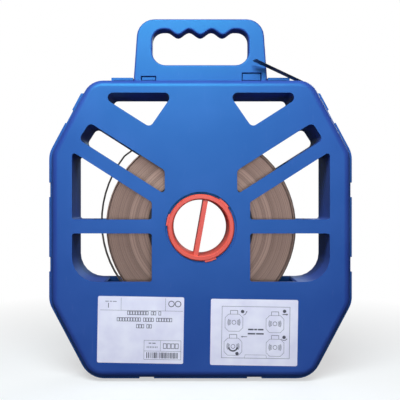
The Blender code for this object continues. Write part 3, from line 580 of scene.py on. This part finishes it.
def guide_label(paper, ink, faint):
    """The right label: a frame with four small drawings of the dispenser, each with a dot and an arrow."""
    label = RIGHT_LABEL
    label_sheet("guide_label", label, paper)
    rules = stroke([(-31.2, 24.9), (34.3, 24.9), (34.3, -24.8), (-31.2, -24.8), (-31.2, 24.9)], FRAME_LINE)
    rules += stroke([(-9.2, -24.8), (-8.2, -21.6), (11.6, -21.6), (12.6, -24.8)], HAIR_LINE)
    for x, z in ((-19.6, 10.2), (20.0, 9.4), (-20.2, -13.0), (20.4, -13.4)):
        rules += case_diagram(x, z, 1.13)
    printed("guide_label_drawings", label, rules, faint)
    marks = text_row(1.6, 2.9, (5.2, 2.6, 5.4), 1.4, 0.8) + text_row(1.6, -1.2, (7.2, 7.4), 1.4, 0.8)
    for x, z in ((-11.4, 20.1), (29.1, 20.9), (-16.2, -20.6), (29.0, -4.2)):
        marks.append(ring_points(x, z, 1.65)[:-1])
    marks += arrow([(-10.4, 16.6), (-8.6, 17.6), (-7.6, 19.6)], 0.5, 1.2)
    marks += arrow([(27.6, 17.8), (31.0, 17.8)], 0.8, 1.7)
    marks += arrow([(-7.0, -4.2), (-11.2, -4.2)], 0.6, 1.5)
    marks += arrow(ring_points(-20.2, -13.8, 4.3, math.radians(200), math.radians(332), 10), 1.3, 2.2)
    marks += arrow(ring_points(29.0, -4.2, 3.0, math.radians(215), math.radians(320), 8), 0.5, 1.1)
    printed("guide_label_marks", label, marks, ink)


# Studio.


def lamp(name, location, target, size, power, colour):
    """A soft box that shines from its place towards its target."""
    light = bpy.data.lights.new(name, "AREA")
    light.color = linear(colour)[:3]
    light.shape = "RECTANGLE"
    light.size, light.size_y = size
    light.energy = power
    obj = bpy.data.objects.new(name, light)
    obj.location = location
    obj.rotation_euler = (Vector(target) - Vector(location)).to_track_quat("-Z", "Y").to_euler()
    bpy.context.scene.collection.objects.link(obj)


def studio_world():
    """White to the camera. Gloss sees a dim room, a little brighter behind the object than in front of it."""
    world = bpy.data.worlds.new("studio")
    bpy.context.scene.world = world
    world.use_nodes = True
    back = world.node_tree.nodes["Background"]
    back.inputs["Color"].default_value = linear("#ffffff")
    rays = add(world, "ShaderNodeLightPath")
    way = add(world, "ShaderNodeSeparateXYZ", {}, Vector=add(world, "ShaderNodeTexCoord").outputs["Generated"])
    behind = span(world, way.outputs["Y"], GLOSS_FRONT, GLOSS_BEHIND, ROOM_FRONT, ROOM_BEHIND)
    seen = add(world, "ShaderNodeMath", {"operation": "MAXIMUM"}, in0=rays.outputs["Is Glossy Ray"])
    plug(world, rays.outputs["Is Transmission Ray"], seen.inputs[1])
    glossy = add(world, "ShaderNodeMix", {"A": AMBIENT}, Factor=seen.outputs[0], B=behind)
    total = add(world, "ShaderNodeMix", {"B": 1.0}, Factor=rays.outputs["Is Camera Ray"], A=glossy.outputs[0])
    plug(world, total.outputs[0], back.inputs["Strength"])


def studio_floor():
    """A pale matt floor that keeps the shadow and turns to plain white further off. To other rays it is dark."""
    material, shader = surface("pale_floor", {"Base Color": linear("#f6f6f6"), "Roughness": 0.9})
    white = add(material, "ShaderNodeEmission", {"Color": linear("#ffffff"), "Strength": 1.0})
    dark = add(material, "ShaderNodeBsdfDiffuse", {"Color": linear("#4a4a50")})
    spot = add(material, "ShaderNodeTexCoord").outputs["Object"]
    away = add(material, "ShaderNodeVectorMath", {"operation": "LENGTH"}, in0=spot).outputs["Value"]
    far = span(material, away, FLOOR_GLOW, 1.0, FLOOR_NEAR, FLOOR_FAR)
    rays = add(material, "ShaderNodeLightPath")
    near = add(material, "ShaderNodeMixShader", {}, Fac=rays.outputs["Is Camera Ray"])
    plug(material, dark.outputs[0], near.inputs[1])
    plug(material, shader.outputs[0], near.inputs[2])
    seen = add(material, "ShaderNodeMath", {"operation": "MULTIPLY"}, in0=rays.outputs["Is Camera Ray"])
    plug(material, far, seen.inputs[1])
    both = add(material, "ShaderNodeMixShader", {}, Fac=seen.outputs[0])
    plug(material, near.outputs[0], both.inputs[1])
    plug(material, white.outputs[0], both.inputs[2])
    plug(material, both.outputs[0], material.node_tree.nodes["Material Output"].inputs["Surface"])
    mesh = bpy.data.meshes.new("floor")
    half = FLOOR_SIZE / 2
    mesh.from_pydata([(-half, -half, 0), (half, -half, 0), (half, half, 0), (-half, half, 0)], [], [(0, 1, 2, 3)])
    mesh.materials.append(material)
    floor = bpy.data.objects.new("floor", mesh)
    bpy.context.scene.collection.objects.link(floor)
    floor.location.z = CAD_BOX[0][2] - FLOOR_DROP


def camera():
    """The photograph's view."""
    data = bpy.data.cameras.new("camera")
    data.lens, data.sensor_width = CAMERA_LENS, CAMERA_SENSOR
    data.shift_x, data.shift_y = CAMERA_SHIFT_X, CAMERA_SHIFT_Y
    data.clip_start = CAMERA_NEAR
    obj = bpy.data.objects.new("camera", data)
    obj.location = (CAMERA_X, CAMERA_Y, HUB_Z + CAMERA_RISE)
    obj.rotation_euler = (math.pi / 2, 0, 0)
    bpy.context.scene.collection.objects.link(obj)
    bpy.context.scene.camera = obj


def main():
    blue = moulded("moulded_blue_polypropylene", "#2b3f8f", "#2e4392", "#324897", 0.46, 0.7, "#46d8f4", 1.0)
    red = moulded("moulded_red_polypropylene", "#cf4538", "#d84f40", "#e05a49", 0.36, 0.6)
    black = moulded("moulded_black_polypropylene", "#191a1d", "#1e1f23", "#26272b", 0.5, 0.6)
    strip = rolled_strip("rolled_stainless_strip")
    edges = slit_edges("slit_strip_edges")
    paper = label_paper("coated_label_paper")
    ink = print_ink("black_transfer_print", "#3c3c46", "#5a5a66")
    faint = print_ink("grey_transfer_print", "#62626e", "#7c7c8a")
    softened("front_shell", "front_shell_moulding", blue, SHELL_EDGE)
    softened("rear_shell", "rear_shell_moulding", blue, SHELL_EDGE)
    softened("carry_handle", "carry_handle_moulding", blue, SHELL_EDGE)
    softened("front_hub", "front_hub_moulding", red, HUB_EDGE)
    softened("rear_hub", "rear_hub_moulding", red, HUB_EDGE)
    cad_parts["reel_core"].data.materials.clear()
    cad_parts["reel_core"].data.materials.append(black)
    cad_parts["drawn_strap"].data.materials.clear()
    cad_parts["drawn_strap"].data.materials.append(strip)
    wound_strip("wound_strip", edges)
    contents_label(paper, ink, faint)
    guide_label(paper, ink, faint)
    studio_world()
    studio_floor()
    for name, settings in LAMPS.items():
        lamp(name, *settings)
    camera()
    bpy.context.scene.view_settings.view_transform = "Standard"


main()
